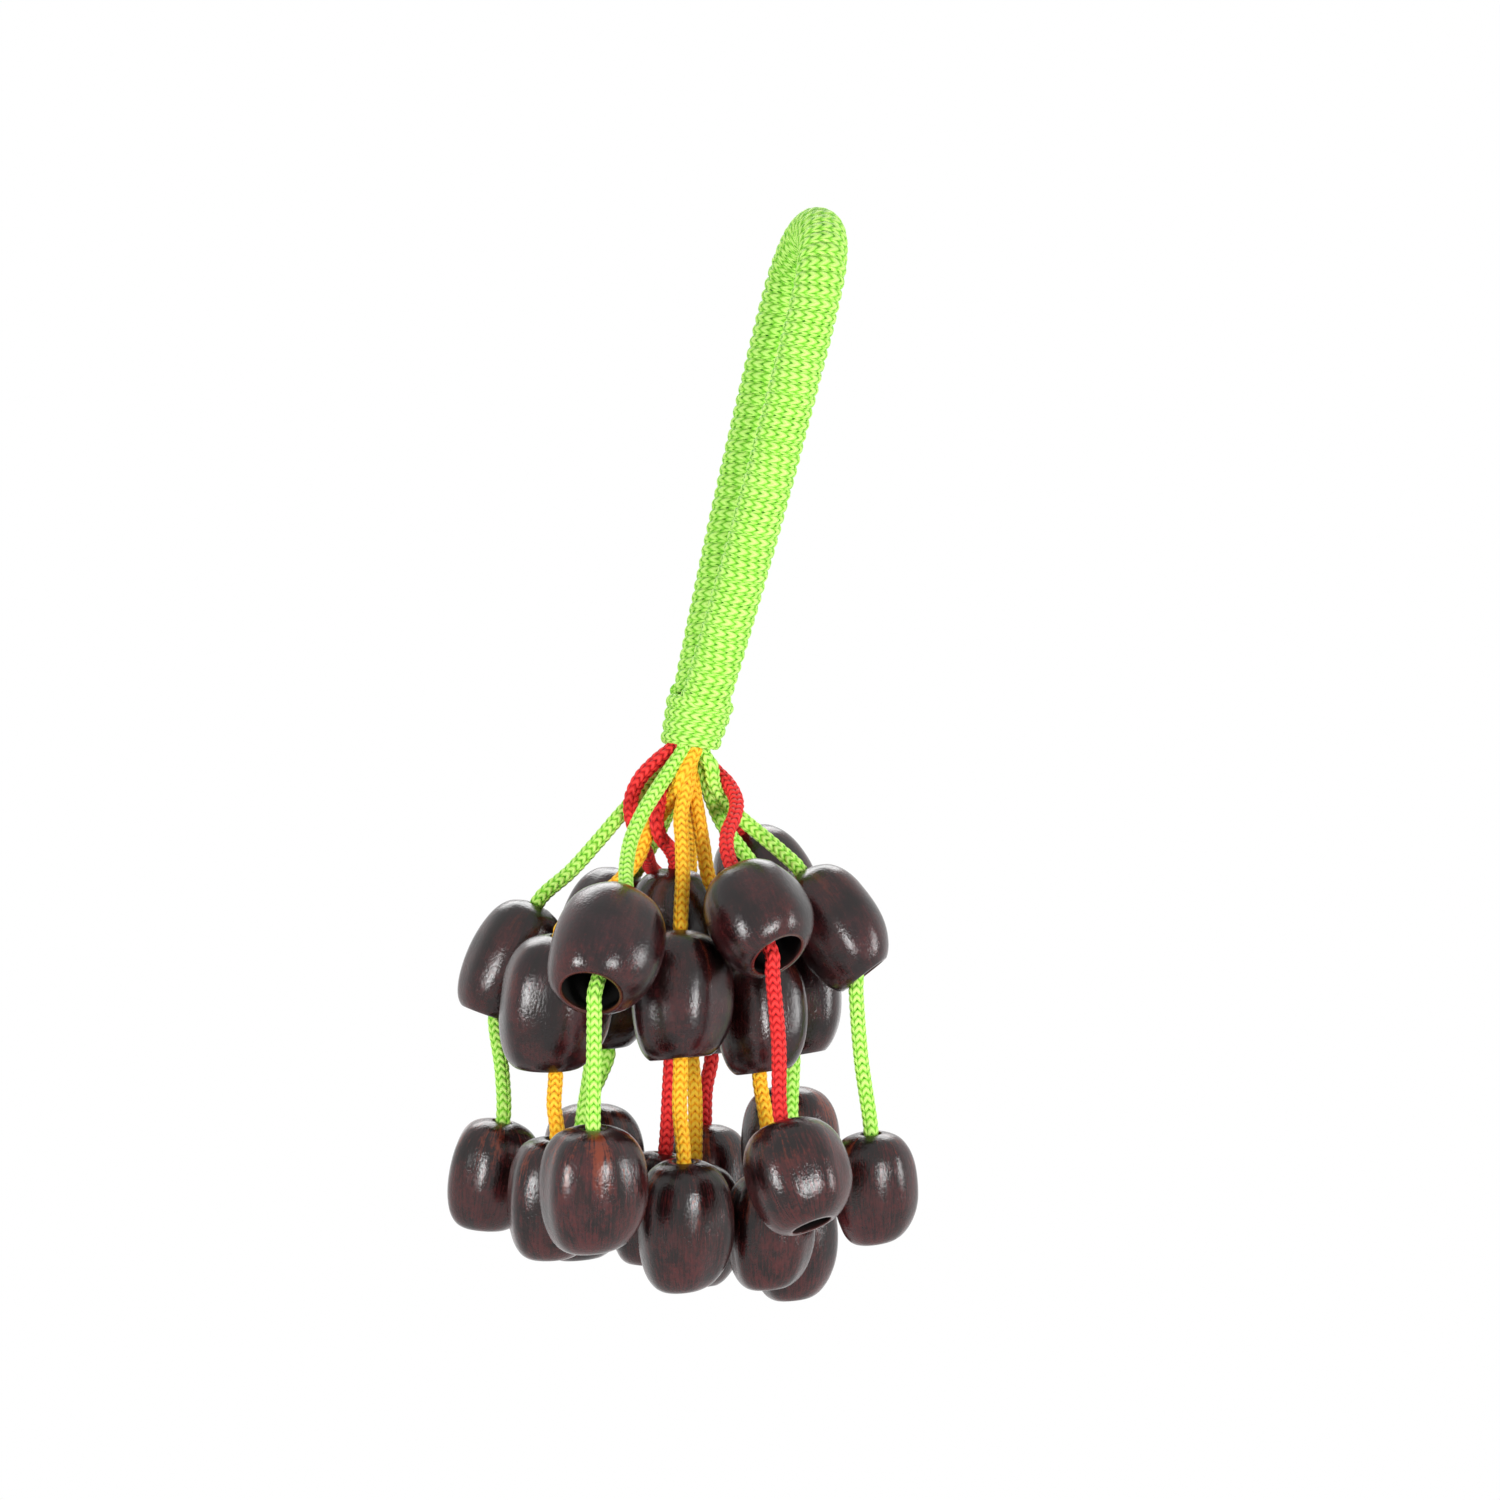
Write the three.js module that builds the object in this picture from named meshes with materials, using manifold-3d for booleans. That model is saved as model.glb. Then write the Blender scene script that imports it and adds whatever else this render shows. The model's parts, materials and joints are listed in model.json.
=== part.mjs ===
import * as THREE from 'three';
import { mergeVertices } from 'three/addons/utils/BufferGeometryUtils.js';
import Module from 'manifold-3d';

// Seed shaker: fourteen cords hang from a whipped cord handle, and each carries two hollow nut shells.
// Millimetres, +Z up. Everything is placed from the foot of the collar, where the cords come out,
// and the whole is then shifted so that the origin is the inside top of the handle's loop.

// Driving dimensions
const gap = 0.3; // left between pieces that touch
const cordDiameter = 2.8;
const knotDiameter = 5.8;
const seedWidth = 20;
const seedHeight = 24;
const shellWall = 1.4;
const holeClearance = 0.5; // round the cord in the top hole of a shell
const upperDrop = 40; // from the collar to the middle of the upper shells
const tierDrop = 45; // from there to the middle of the lower shells

// Handle
const handleTilt = THREE.MathUtils.degToRad(14); // the handle leans to the right
const loopTurn = THREE.MathUtils.degToRad(12); // its near leg is turned to the right
const coreDiameter = 5;
const windingGap = 0.5; // between the core and the turns round it
const whippingThickness = 1.8;
const whippingPitch = 2.3;
const loopHalfWidth = 13.5;
const loopLength = 107.4; // from the foot of the collar to the top of the loop
const collarHeight = 11.5;
const collarFootRadius = 3.6;
const collarHeadRadius = 4.7;

const cordRadius = cordDiameter / 2;
const knotRadius = knotDiameter / 2;
const coreRadius = coreDiameter / 2;
const holeRadius = cordRadius + holeClearance;
// From the core's middle to the turns' middle, and to their outside
const whippingReach = coreRadius + windingGap + whippingThickness / 2;
const whippingOuter = whippingReach + whippingThickness / 2;

const wasm = await Module();
wasm.setup();

const up = new THREE.Vector3(0, 0, 1);
const shaker = new THREE.Group();

function material(color, roughness, metalness = 0) {
  return new THREE.MeshStandardMaterial({ color, roughness, metalness });
}

const cordColours = { green: 0x9be84a, yellow: 0xffb90a, red: 0xe11919 };

function addMesh(name, geometry, finish) {
  const mesh = new THREE.Mesh(geometry, finish);
  mesh.name = name;
  shaker.add(mesh);
  return mesh;
}

// Solids to join
function solidOf(geometry) {
  const bare = geometry.clone();
  bare.deleteAttribute('normal');
  bare.deleteAttribute('uv');
  const merged = mergeVertices(bare);
  return new wasm.Manifold(new wasm.Mesh({
    numProp: 3,
    vertProperties: Float32Array.from(merged.attributes.position.array),
    triVerts: Uint32Array.from(merged.index.array),
  }));
}

function joined(geometries) {
  const whole = geometries.map(solidOf).reduce((sum, next) => sum.add(next));
  const result = whole.getMesh();
  const geometry = new THREE.BufferGeometry();
  geometry.setAttribute('position', new THREE.BufferAttribute(result.vertProperties, 3));
  geometry.setIndex(new THREE.BufferAttribute(result.triVerts, 1));
  geometry.computeVertexNormals();
  return geometry;
}

// A line with its corners exactly at the chosen points, one for each step of the tube
class ChosenLine extends THREE.Curve {
  constructor(points) {
    super();
    this.points = points;
  }

  getPoint(t, target = new THREE.Vector3()) {
    const place = Math.min(Math.max(t, 0), 1) * (this.points.length - 1);
    const index = Math.min(Math.floor(place), this.points.length - 2);
    return target.lerpVectors(this.points[index], this.points[index + 1], place - index);
  }

  getPointAt(t, target) {
    return this.getPoint(t, target);
  }

  getTangentAt(t, target) {
    return this.getTangent(t, target);
  }
}

function roundSection(radius, sides) {
  const corners = [];
  for (let i = 0; i < sides; i++) {
    const angle = (i + 0.5) / sides * 2 * Math.PI;
    corners.push(new THREE.Vector2(radius * Math.cos(angle), radius * Math.sin(angle)));
  }
  return new THREE.Shape(corners);
}

function tube(path, radius, sides, steps) {
  return new THREE.ExtrudeGeometry(roundSection(radius, sides), { steps, extrudePath: path });
}

// Handle frame: axis runs up the handle, across from leg to leg, and through past both faces of the loop
const axis = new THREE.Vector3(Math.sin(handleTilt), 0, Math.cos(handleTilt));
const sideways = new THREE.Vector3(Math.cos(handleTilt), 0, -Math.sin(handleTilt));
const across = sideways.clone().multiplyScalar(Math.sin(loopTurn))
  .add(new THREE.Vector3(0, -Math.cos(loopTurn), 0));
const through = new THREE.Vector3().crossVectors(axis, across);

function handlePoint(u, v, w) {
  return new THREE.Vector3().addScaledVector(across, u).addScaledVector(through, v).addScaledVector(axis, w);
}

// One leg of the loop from the collar's foot to the arch: half the distance between the legs as a share
// of the loop's half width, and the height as a share of the way to the arch's centre
const archCentre = loopLength - whippingOuter - loopHalfWidth;
const legShares = [
  [0.2, 0.006], [0.24, 0.07], [0.39, 0.16], [0.56, 0.28], [0.79, 0.48], [0.95, 0.72], [1, 1],
];
const archSteps = 6;

function loopPath() {
  const leg = legShares.map(([u, w]) => [u * loopHalfWidth, w * archCentre]);
  const points = leg.map(([u, w]) => handlePoint(-u, 0, w));
  for (let i = 1; i < archSteps; i++) {
    const angle = Math.PI * (1 - i / archSteps);
    const height = archCentre + loopHalfWidth * Math.sin(angle);
    points.push(handlePoint(loopHalfWidth * Math.cos(angle), 0, height));
  }
  points.push(...leg.reverse().map(([u, w]) => handlePoint(u, 0, w)));
  return new THREE.CatmullRomCurve3(points, false, 'centripetal');
}

const loop = loopPath();
const loopTravel = loop.getLength();

// The bundle of folded cords: the loop, joined to the trunk that the collar is wound on
const collarOvalShare = 1.45; // the trunk is wider from leg to leg, where two legs come down into it
const trunkSides = 12;
const loopSides = 8;
const loopSteps = 40;

function trunk() {
  const profile = [[0, 0], [collarFootRadius, 0], [collarHeadRadius, collarHeight], [0, collarHeight]];
  const solid = new THREE.LatheGeometry(profile.map(([r, h]) => new THREE.Vector2(r, h)), trunkSides);
  const place = new THREE.Matrix4().makeBasis(
    across.clone().multiplyScalar(collarOvalShare), axis, through.clone().negate());
  return solid.applyMatrix4(place);
}

const core = joined([tube(loop, coreRadius, loopSides, loopSteps), trunk()]);
addMesh('handle_core', core, material(0x7fc83a, 0.8));

// A winding: one unbroken tube that turns round a line. place(t) gives the middle of the tube, its outward
// direction and its direction along the wound line at turn t, and half(t) its half width along that line.
const windingSides = 5;

function windingRings(turns, turnSteps, place, half) {
  const rings = [];
  const count = Math.round(turns * turnSteps);
  const ring = (middle, outward, along, width) => {
    const corners = [];
    for (let k = 0; k < windingSides; k++) {
      const angle = k / windingSides * 2 * Math.PI;
      corners.push(middle.clone()
        .addScaledVector(outward, whippingThickness / 2 * Math.cos(angle))
        .addScaledVector(along, width * Math.sin(angle)));
    }
    return corners;
  };
  const straightEnd = (from, next) => {
    const here = place(from);
    const beyond = here.middle.clone().sub(place(next).middle).setLength(whippingThickness);
    return ring(here.middle.clone().add(beyond), here.outward, here.along, half(from));
  };
  rings.push(straightEnd(0, 1 / turnSteps));
  for (let i = 0; i <= count; i++) {
    const turn = i / turnSteps;
    const { middle, outward, along } = place(turn);
    rings.push(ring(middle, outward, along, half(turn)));
  }
  rings.push(straightEnd(count / turnSteps, (count - 1) / turnSteps));
  return rings;
}

function leastGap(rings, turnSteps) {
  let least = Infinity;
  for (let i = 0; i < rings.length; i++) {
    for (let j = i + turnSteps / 2 + 1; j < rings.length; j++) {
      for (const a of rings[i]) {
        for (const b of rings[j]) least = Math.min(least, a.distanceTo(b));
      }
    }
  }
  return least;
}

function windingGeometry(rings) {
  const positions = rings.flat().flatMap((p) => [p.x, p.y, p.z]);
  const index = [];
  for (let i = 0; i < rings.length - 1; i++) {
    for (let k = 0; k < windingSides; k++) {
      const a = i * windingSides + k;
      const b = i * windingSides + (k + 1) % windingSides;
      index.push(a, b + windingSides, b, a, a + windingSides, b + windingSides);
    }
  }
  const last = (rings.length - 1) * windingSides;
  for (let k = 1; k < windingSides - 1; k++) {
    index.push(0, k, k + 1);
    index.push(last, last + k + 1, last + k);
  }
  const geometry = new THREE.BufferGeometry();
  geometry.setAttribute('position', new THREE.Float32BufferAttribute(positions, 3));
  geometry.setIndex(index);
  geometry.computeVertexNormals();
  return geometry;
}

// The whipping of the legs and the arch starts just above the collar on one leg and ends there on the other
const whippingFill = 0.68; // the turn's width as a share of the pitch
const whippingStart = collarHeight + whippingThickness + 2 * gap;
const startShare = whippingStart / loopTravel;
const whippingTurns = Math.round(loopTravel * (1 - 2 * startShare) / whippingPitch);

function whippingPlace(turn) {
  const share = startShare + (1 - 2 * startShare) * turn / whippingTurns;
  const tangent = loop.getTangentAt(share);
  const inPlane = new THREE.Vector3().crossVectors(through, tangent);
  const angle = 2 * Math.PI * turn;
  const outward = inPlane.multiplyScalar(Math.cos(angle)).addScaledVector(through, Math.sin(angle));
  const middle = loop.getPointAt(share).addScaledVector(outward, whippingReach);
  return { middle, outward, along: tangent };
}

function whippingHalf(turn) {
  const before = turn < 1 ? turn : turn - 1;
  const after = turn > whippingTurns - 1 ? turn : turn + 1;
  const span = whippingPlace(before).middle.distanceTo(whippingPlace(after).middle);
  return span / (after - before) * whippingFill / 2;
}

const whippingSteps = 8;
const whippingRings = windingRings(whippingTurns, whippingSteps, whippingPlace, whippingHalf);
const whippingGap = leastGap(whippingRings, whippingSteps);
console.log(`handle whipping: ${whippingTurns} turns, least gap ${whippingGap.toFixed(2)} mm`);
addMesh('handle_whipping', windingGeometry(whippingRings), material(cordColours.green, 0.75));

// The collar is wound on the trunk, wider from leg to leg than through the loop
const collarTurns = Math.floor((collarHeight - whippingThickness) / whippingPitch);
const collarStart = whippingThickness / 2;

function collarPlace(turn) {
  const height = collarStart + turn * whippingPitch;
  const radius = collarFootRadius + (collarHeadRadius - collarFootRadius) * height / collarHeight;
  const angle = 2 * Math.PI * turn;
  const outU = radius * collarOvalShare + windingGap + whippingThickness / 2;
  const outV = radius + windingGap + whippingThickness / 2;
  const middle = handlePoint(outU * Math.cos(angle), outV * Math.sin(angle), height);
  const outward = handlePoint(outV * Math.cos(angle), outU * Math.sin(angle), 0).normalize();
  return { middle, outward, along: axis };
}

const collarSteps = 16;
const collarHalf = () => whippingPitch * whippingFill / 2;
const collarRings = windingRings(collarTurns, collarSteps, collarPlace, collarHalf);
const collarGap = leastGap(collarRings, collarSteps);
console.log(`collar whipping: ${collarTurns} turns, least gap ${collarGap.toFixed(2)} mm`);
addMesh('collar_whipping', windingGeometry(collarRings), material(cordColours.green, 0.75));

// Nut shells: an open shell of revolution, lobed, with a small hole on top and a mouth cut askew, which is
// wider on the upper shells. Each outline runs from the top hole to the mouth's edge.
const upperShares = [[0.62, 0.44], [0.93, 0.24], [1, -0.04], [0.87, -0.32], [0.56, -0.5]];
const lowerShares = [[0.62, 0.44], [0.93, 0.24], [1, -0.04], [0.89, -0.28], [0.69, -0.42], [0.44, -0.5]];
const innerShares = [[0.95, -0.2], [0.9, 0.26]];
const lobeShare = 0.025;
const lobes = 3;
const askewShare = 0.1; // how far the mouth's rim rises and falls, of its radius
const askewFrom = 0.2; // how far below the middle that starts, as a share of half the height
const rimShare = 0.5; // the wall at the mouth, as a share of the shell's wall
const shellSides = 10;

function shellGeometry(width, height, outline) {
  const radius = width / 2;
  const profile = [[holeRadius, height / 2]];
  for (const [r, h] of outline) profile.push([r * radius, h * height]);
  const [mouthShare] = outline.at(-1);
  profile.push([mouthShare * radius - shellWall * rimShare, -height / 2]);
  for (const [r, h] of innerShares) profile.push([r * radius - shellWall, h * height]);
  profile.push([holeRadius, height / 2 - shellWall]);
  profile.push(profile[0]);
  const points = profile.map(([r, h]) => new THREE.Vector2(r, h)).reverse();
  const geometry = new THREE.LatheGeometry(points, shellSides);
  geometry.rotateX(Math.PI / 2);
  const place = geometry.attributes.position;
  for (let i = 0; i < place.count; i++) {
    const x = place.getX(i);
    const y = place.getY(i);
    const z = place.getZ(i);
    const along = 2 * z / height;
    const swell = 1 + lobeShare * Math.cos(lobes * Math.atan2(y, x)) * Math.max(0, 1 - along * along);
    const askew = askewShare * x * THREE.MathUtils.smoothstep(-along, askewFrom, 1);
    place.setXYZ(i, x * swell, y * swell, z + askew);
  }
  return geometry;
}

// The strands. Places across are shares of a shell's width. A shell's rise is a share of its height, from
// its tier's middle. A lean is how far the mouth points to the right and away, in degrees.
// The slot is the cord's place in the collar: its ring and the angle there. The bend is the cord's
// turning point above the upper shell: two shares of a shell's width and one of the upper drop.
const strandShares = [
  { colour: 'green', slot: [1, 174], bend: [-0.54, 0.06, 0.29],
    upper: [-1.7, 0.14, -0.02], size: [0.9, 0.96], lean: [-25, 2],
    lower: [-1.88, 0.15, 0.13], lowerSize: [0.93, 0.88], lowerLean: [-10, 8] },
  { colour: 'yellow', slot: [1, 210], bend: [-0.5, -0.28, 0.36],
    upper: [-1.28, -0.82, -0.34], size: [1.12, 1.06], lean: [-6, 10],
    lower: [-1.28, -0.9, -0.025], lowerSize: [0.97, 0.96], lowerLean: [-3, 10] },
  { colour: 'green', slot: [1, 246], bend: [-0.3, -0.4, 0.34],
    upper: [-0.76, -1.78, 0.11], size: [1.13, 1], lean: [-20, -42],
    lower: [-0.89, -2.04, 0.08], lowerSize: [1.08, 0.98], lowerLean: [0, 12] },
  { colour: 'green', slot: [1, 138], bend: [-0.3, 0.34, 0.3],
    upper: [-0.8, 0.88, 0.23], size: [0.95, 0.96], lean: [-20, 0],
    lower: [-1.04, 0.72, -0.08], lowerSize: [0.95, 0.96], lowerLean: [0, 6] },
  { colour: 'yellow', slot: [1, 282], bend: [-0.04, -0.42, 0.42],
    upper: [-0.07, -0.92, -0.28], size: [1.03, 1.02], lean: [0, -2],
    lower: [-0.04, -0.9, -0.24], lowerSize: [0.96, 1.04], lowerLean: [0, 12] },
  { colour: 'red', slot: [0, 195], bend: [-0.22, -0.02, 0.28],
    upper: [-0.15, 0.06, 0.21], size: [0.96, 1], lean: [-2, 0],
    lower: [-0.3, 0.06, -0.14], lowerSize: [0.95, 0.9], lowerLean: [-8, 4] },
  { colour: 'red', slot: [1, 318], bend: [0.42, -0.46, 0.28],
    upper: [0.66, -1.25, 0.35], size: [1.05, 0.84], lean: [28, -36],
    lower: [1.04, -1.64, 0.18], lowerSize: [1.05, 0.86], lowerLean: [16, -14] },
  { colour: 'green', slot: [1, 352], bend: [0.42, -0.06, 0.25],
    upper: [1.39, -0.2, 0.27], size: [0.93, 0.96], lean: [32, -4],
    lower: [1.78, -0.22, 0.04], lowerSize: [0.88, 0.88], lowerLean: [3, 10] },
  { colour: 'red', slot: [1, 33], bend: [0.32, 0.53, 0.2],
    upper: [0.75, 1.3, 0.57], size: [1, 0.96], lean: [24, 14],
    lower: [0.98, 1.4, 0.33], lowerSize: [1, 0.96], lowerLean: [0, 0] },
  { colour: 'yellow', slot: [0, 286], bend: [0.26, -0.14, 0.42],
    upper: [0.7, -0.28, -0.43], size: [0.92, 0.96], lean: [2, 0],
    lower: [0.78, -0.3, -0.3], lowerSize: [0.9, 0.92], lowerLean: [0, 9] },
  { colour: 'green', slot: [0, 16], bend: [0.34, 0.16, 0.42],
    upper: [1.03, 0.62, -0.29], size: [0.93, 1], lean: [3, 0],
    lower: [1.01, 0.62, -0.38], lowerSize: [0.88, 1], lowerLean: [0, 9] },
  { colour: 'green', slot: [1, 102], bend: [-0.16, 0.55, 0.34],
    upper: [-0.82, 1.8, -0.25], size: [0.98, 1], lean: [-4, 6],
    lower: [-0.95, 1.84, 0.18], lowerSize: [1.04, 0.96], lowerLean: [0, 0] },
  { colour: 'yellow', slot: [0, 108], bend: [0, 0.3, 0.3],
    upper: [0.03, 1.25, -0.12], size: [0.93, 0.98], lean: [2, 0],
    lower: [0.06, 1.16, -0.31], lowerSize: [0.95, 1], lowerLean: [0, 0] },
  { colour: 'red', slot: [1, 66], bend: [0.1, 0.6, 0.3],
    upper: [0.2, 2.3, -0.3], size: [0.96, 1], lean: [-2, 6],
    lower: [0.15, 2.28, 0], lowerSize: [0.95, 0.96], lowerLean: [0, 0] },
];

// The cords leave the collar in two rings, whose radii are shares of the cord's diameter
const ringShares = [0.79, 1.84];
const cordSides = 8;
const knotSides = 6;
const knotRings = 3;
const entryRun = cordRadius; // straight stretch of the cord above a shell's hole
const mouthRun = 1; // how far inside the mouth the cord turns down
const exitRun = 2.6; // and how far down it then runs to where the lower cord swings
const tailRun = 1.5; // the cord's end below its last knot
const knotSeat = Math.sqrt((knotRadius + gap) ** 2 - holeRadius ** 2);

function leaning([right, away]) {
  const slope = (degrees) => Math.tan(THREE.MathUtils.degToRad(degrees));
  return new THREE.Vector3(-slope(right), -slope(away), 1).normalize();
}

function knot(centre) {
  const ball = new THREE.SphereGeometry(knotRadius, knotSides, knotRings);
  return ball.rotateX(Math.PI / 2).translate(centre.x, centre.y, centre.z);
}

const shellFinish = material(0x33211f, 0.35);

strandShares.forEach((strand, index) => {
  const name = String(index + 1).padStart(2, '0');
  const finish = material(cordColours[strand.colour], 0.75);
  const shell = (key, outline, size, lean, tier) => {
    const [x, y, rise] = strand[key];
    const direction = leaning(lean);
    const width = size[0] * seedWidth;
    const height = size[1] * seedHeight;
    const centre = new THREE.Vector3(x * seedWidth, y * seedWidth, rise * seedHeight - tier);
    const geometry = shellGeometry(width, height, outline);
    const mesh = addMesh(`seed_${name}_${key}`, geometry, shellFinish);
    mesh.position.copy(centre);
    mesh.quaternion.setFromUnitVectors(up, direction);
    const on = (distance) => centre.clone().addScaledVector(direction, distance);
    const [mouthShare] = outline.at(-1);
    const mouthRadius = mouthShare * width / 2 * Math.cos(Math.PI / shellSides) - shellWall * rimShare;
    return { on, height, direction, mouthRadius };
  };
  const upper = shell('upper', upperShares, strand.size, strand.lean, upperDrop);
  const lower = shell('lower', lowerShares, strand.lowerSize, strand.lowerLean, upperDrop + tierDrop);

  // Upper cord: collar, bend, into the shell's hole, out of its mouth. Below its knot it hangs straight
  // down, or leans on the low side of the mouth.
  const [ring, degrees] = strand.slot;
  const slotRadius = ringShares[ring] * cordDiameter;
  const slotAngle = THREE.MathUtils.degToRad(degrees);
  const [bendX, bendY, bendDrop] = strand.bend;
  const bend = new THREE.Vector3(bendX * seedWidth, bendY * seedWidth, -bendDrop * upperDrop);
  const exit = new THREE.Vector3(slotRadius * Math.cos(slotAngle), slotRadius * Math.sin(slotAngle), 0);
  const fan = bend.clone().sub(exit).normalize();
  exit.z = -2 * gap - cordRadius * Math.hypot(fan.x, fan.y) - exit.x * Math.tan(handleTilt);
  const upperKnotHeight = upper.height / 2 - shellWall - knotSeat;
  const lean = 1 / upper.direction.z;
  const room = upper.mouthRadius - 2 * gap - cordRadius * lean - mouthRun * Math.sqrt(lean * lean - 1);
  const aside = upper.direction.clone().addScaledVector(up, -lean)
    .multiplyScalar(upperKnotHeight + upper.height / 2 - mouthRun).clampLength(0, room);
  const turn = upper.on(mouthRun - upper.height / 2).add(aside);
  const pivot = turn.clone().addScaledVector(up, -exitRun);
  const upperKnotCentre = upper.on(upperKnotHeight);
  const upperRoute = [exit, bend, upper.on(upper.height / 2 + entryRun), upperKnotCentre, turn, pivot];
  const upperTube = tube(new ChosenLine(upperRoute), cordRadius, cordSides, upperRoute.length - 1);
  addMesh(`cord_${name}_upper`, joined([upperTube, knot(upperKnotCentre)]), finish);

  // Lower cord: from the pivot down to the last knot
  const knotCentre = lower.on(lower.height / 2 - shellWall - knotSeat);
  const entry = lower.on(lower.height / 2 + entryRun);
  const slant = entry.clone().sub(pivot).normalize();
  const lowerRoute = [
    pivot.clone().addScaledVector(up, -gap - cordRadius * Math.hypot(slant.x, slant.y)),
    entry,
    lower.on(lower.height / 2 - shellWall - knotSeat - knotRadius - tailRun),
  ];
  const lowerTube = tube(new ChosenLine(lowerRoute), cordRadius, cordSides, lowerRoute.length - 1);
  addMesh(`cord_${name}_lower`, joined([lowerTube, knot(knotCentre)]), finish);
});

// The origin: inside the top of the loop, where it is held or hung
const holdPoint = handlePoint(0, 0, loopLength - 2 * whippingOuter);
shaker.position.copy(holdPoint).negate();
const assembly = new THREE.Group();
assembly.add(shaker);

export default assembly;
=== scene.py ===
import json
import math

import bpy
import numpy as np
from mathutils import Matrix, Vector


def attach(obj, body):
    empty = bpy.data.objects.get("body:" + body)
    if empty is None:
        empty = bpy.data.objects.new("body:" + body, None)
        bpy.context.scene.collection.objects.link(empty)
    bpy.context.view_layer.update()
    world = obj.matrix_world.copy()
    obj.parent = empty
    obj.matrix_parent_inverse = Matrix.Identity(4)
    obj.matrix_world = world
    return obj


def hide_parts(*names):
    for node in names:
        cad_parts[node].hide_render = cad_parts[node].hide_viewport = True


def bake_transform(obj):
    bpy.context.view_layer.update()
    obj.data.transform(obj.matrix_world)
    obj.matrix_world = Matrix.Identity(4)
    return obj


# Seed shaker: a whipped cord handle over fourteen braided strands with two nut shells each.
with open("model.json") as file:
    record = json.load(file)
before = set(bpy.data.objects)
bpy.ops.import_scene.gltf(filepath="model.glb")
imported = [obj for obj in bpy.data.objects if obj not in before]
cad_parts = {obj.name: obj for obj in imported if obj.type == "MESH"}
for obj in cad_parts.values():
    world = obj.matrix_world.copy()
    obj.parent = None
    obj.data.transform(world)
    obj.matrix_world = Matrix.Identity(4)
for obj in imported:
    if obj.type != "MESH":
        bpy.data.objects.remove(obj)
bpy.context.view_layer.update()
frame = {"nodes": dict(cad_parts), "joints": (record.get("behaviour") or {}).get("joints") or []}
joints = {joint["name"]: joint for joint in frame["joints"]}
print("frame loaded:", len(frame["nodes"]), "nodes")

mm = 0.001
neck = Vector((-0.02366, 0, -0.094895))  # middle of the collar's foot, where the strands come out
tilt = math.radians(14)  # the handle leans to the right


def fromNeck(x, y, z):
    return neck + Vector((x, y, z)) * mm


# Camera

view = {"distance": 2.5, "width": 0.2885, "middle": (-0.0118, 0, -0.095), "sensor": 36, "near": 0.01}


def makeCamera():
    data = bpy.data.cameras.new("photoView")
    data.sensor_width = view["sensor"]
    data.lens = view["sensor"] * view["distance"] / view["width"]
    data.clip_start = view["near"]
    camera = bpy.data.objects.new("photoView", data)
    x, y, z = view["middle"]
    camera.location = (x, y - view["distance"], z)
    camera.rotation_euler = (math.pi / 2, 0, 0)
    bpy.context.scene.collection.objects.link(camera)
    bpy.context.scene.camera = camera


makeCamera()
print("camera placed")


# A socket whose sums are written as plain Python

class Wire:
    def __init__(self, tree, socket=None):
        self.tree = tree
        self.socket = socket

    def node(self, kind, settings=None, values=None, output=0):
        made = self.tree.nodes.new(kind)
        for name, value in (settings or {}).items():
            if name == "stops":
                ramp = made.color_ramp
                while len(ramp.elements) < len(value):
                    ramp.elements.new(1)
                for element, (place, colour) in zip(ramp.elements, value):
                    element.position = place
                    element.color = (*colour, 1)
            else:
                setattr(made, name, value)
        for name, value in (values or {}).items():
            if isinstance(value, Wire):
                self.tree.links.new(value.socket, made.inputs[name])
            else:
                made.inputs[name].default_value = value
        return Wire(self.tree, made.outputs[output]) if made.outputs else made

    def sum(self, operation, *terms):
        return self.node("ShaderNodeMath", {"operation": operation}, dict(enumerate(terms)))

    def __add__(self, other):
        return self.sum("ADD", self, other)

    __radd__ = __add__

    def __mul__(self, other):
        return self.sum("MULTIPLY", self, other)

    __rmul__ = __mul__

    def __sub__(self, other):
        return self.sum("SUBTRACT", self, other)

    def __rsub__(self, other):
        return self.sum("SUBTRACT", other, self)

    def __truediv__(self, other):
        return self.sum("DIVIDE", self, other)

    def __pow__(self, other):
        return self.sum("POWER", self, other)

    def ease(self, low, high):  # 0 below low, 1 above high
        return self.node("ShaderNodeMapRange", {"interpolation_type": "SMOOTHSTEP"},
                         {"Value": self, "From Min": low, "From Max": high})

    def vector(self, operation, *terms, output=0):
        return self.node("ShaderNodeVectorMath", {"operation": operation}, dict(enumerate(terms)), output)

    def scaled(self, amount):
        return self.node("ShaderNodeVectorMath", {"operation": "SCALE"}, {"Vector": self, "Scale": amount})

    def blend(self, first, second):  # two colours, mixed by this value
        return self.node("ShaderNodeMix", {"data_type": "RGBA"}, {0: self, 6: first, 7: second}, 2)

    def parts(self):  # the three numbers of this vector
        made = self.node("ShaderNodeSeparateXYZ", None, {"Vector": self}).socket.node
        return [Wire(self.tree, socket) for socket in made.outputs]

    def noise(self, scale, detail=2, roughness=0.5):  # reads this vector
        return self.node("ShaderNodeTexNoise", None,
                         {"Vector": self, "Scale": scale, "Detail": detail, "Roughness": roughness}, "Fac")


def linear(red, green, blue):  # a colour as a screen gives it, 0 to 255
    def one(value):
        value /= 255
        return value / 12.92 if value < 0.04045 else ((value + 0.055) / 1.055) ** 2.4
    return (one(red), one(green), one(blue), 1)


def newFinish(name):
    finish = bpy.data.materials.new(name)
    finish.use_nodes = True
    shader = finish.node_tree.nodes["Principled BSDF"]
    return finish, Wire(finish.node_tree), shader


def feed(finish, shader, name, wire):
    finish.node_tree.links.new(wire.socket, shader.inputs[name])


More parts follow.
